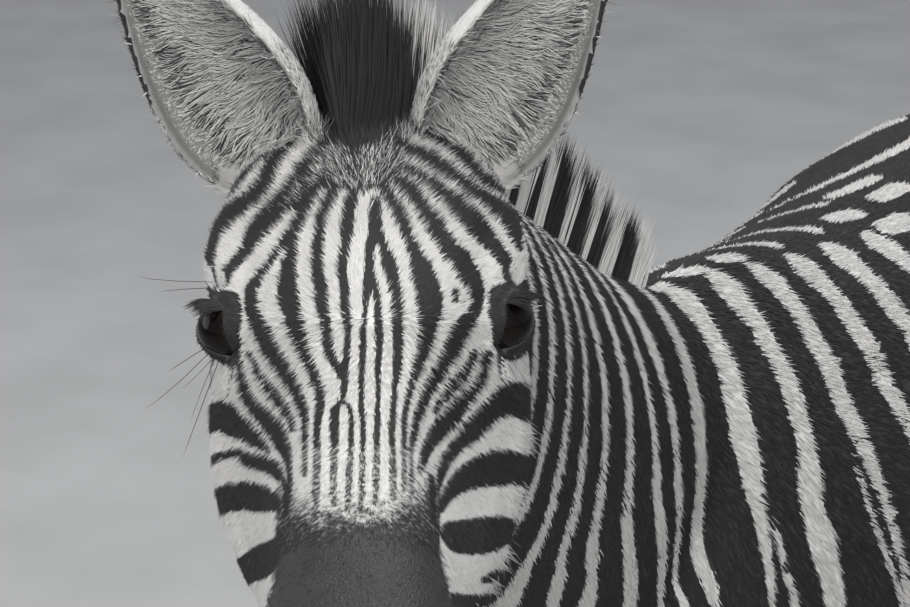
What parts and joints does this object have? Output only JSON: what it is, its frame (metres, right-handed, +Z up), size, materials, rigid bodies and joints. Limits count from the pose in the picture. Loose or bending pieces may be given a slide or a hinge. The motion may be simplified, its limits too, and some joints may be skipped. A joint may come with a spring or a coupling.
{
  "type": "zebra",
  "caption": "Life-size plains zebra standing still and square, head turned to its left, with an upright mane, a striped coat and a tufted hanging tail",
  "frame": {"origin": "on the floor under the middle of the box round the whole animal", "axes": "-Y is the way the trunk faces, +X its left side, +Z up; the head is turned to the left of -Y"},
  "size_m": [0.6562, 2.1034, 1.7034],
  "materials": {
    "coat": "short hair lying flat, narrow off-white stripes on wide black ones",
    "dark_skin": "short dark hair over dark skin, soft sheen",
    "long_hair": "stiff upright hair, dark with pale bands",
    "eye": "wet and glossy",
    "hoof_horn": "worn horn with fine growth rings"
  },
  "bodies": {
    "root": {"trunk": "coat", "neck": "coat", "head": "coat", "muzzle": "dark_skin", "mane": "long_hair", "eye_left": "eye", "ear_left": "coat", "eye_right": "eye", "ear_right": "coat", "forearm_left": "coat", "fore_cannon_left": "coat", "fore_pastern_left": "coat", "hoof_front_left": "hoof_horn", "forearm_right": "coat", "fore_cannon_right": "coat", "fore_pastern_right": "coat", "hoof_front_right": "hoof_horn", "thigh_left": "coat", "hind_cannon_left": "coat", "hind_pastern_left": "coat", "hoof_hind_left": "hoof_horn", "thigh_right": "coat", "hind_cannon_right": "coat", "hind_pastern_right": "coat", "hoof_hind_right": "hoof_horn", "tail": "coat", "tail_tuft": "long_hair"}
  },
  "joints": []
}
